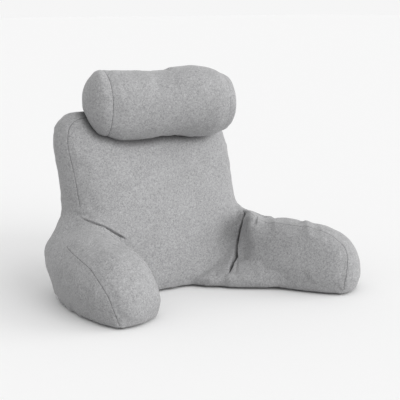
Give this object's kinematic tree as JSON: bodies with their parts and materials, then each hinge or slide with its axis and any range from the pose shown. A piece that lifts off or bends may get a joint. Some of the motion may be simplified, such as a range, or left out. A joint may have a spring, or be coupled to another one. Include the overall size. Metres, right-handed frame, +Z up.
{
  "type": "reading pillow",
  "caption": "Soft backrest cushion with a leaning boxed back, rounded armrests reaching forward and a bolster neck roll along the top front edge.",
  "frame": {"origin": "on the floor, on the flat underside of the back cushion, midway between its sides", "axes": "+Z up, -Y the way the sitter faces, +X towards the armrest on the right of someone who looks at the front"},
  "size_m": [0.7448, 0.5425, 0.5458],
  "materials": {
    "heather_cloth": "matte brushed heather-grey cloth"
  },
  "bodies": {
    "root": {"back_cushion": "heather_cloth", "arm_left": "heather_cloth", "arm_right": "heather_cloth", "neck_roll": "heather_cloth"}
  },
  "joints": []
}
